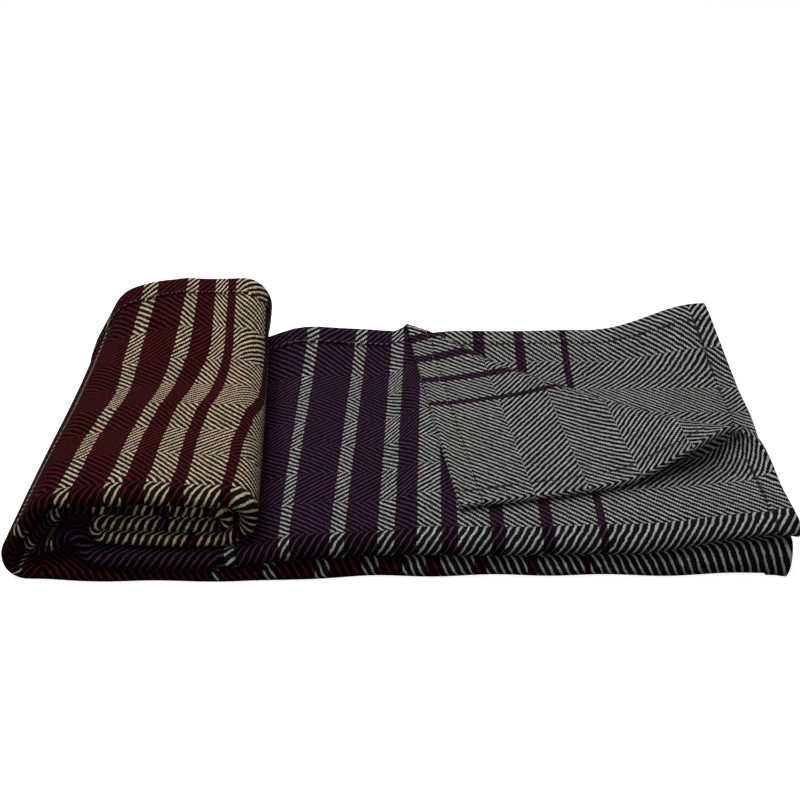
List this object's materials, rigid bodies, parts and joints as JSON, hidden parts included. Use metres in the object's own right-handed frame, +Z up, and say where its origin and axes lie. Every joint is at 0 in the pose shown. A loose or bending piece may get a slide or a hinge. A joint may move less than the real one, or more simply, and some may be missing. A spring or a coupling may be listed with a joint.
{
  "type": "folded wool throw",
  "caption": "Wool throw folded in plies across its width and rolled back over itself at one end, with a corner of the top ply turned over.",
  "frame": {"origin": "middle of the underside of the folded throw, on the surface that it rests on", "axes": "+X along the folded length, away from the rolled end; +Y towards the back hem; +Z up"},
  "size_m": [0.6183, 0.3558, 0.0973],
  "materials": {
    "wool": "soft matt herringbone wool, dark warp with plum, maroon, cream and grey weft stripes"
  },
  "bodies": {
    "root": {"throw_cloth": "wool"}
  },
  "joints": []
}
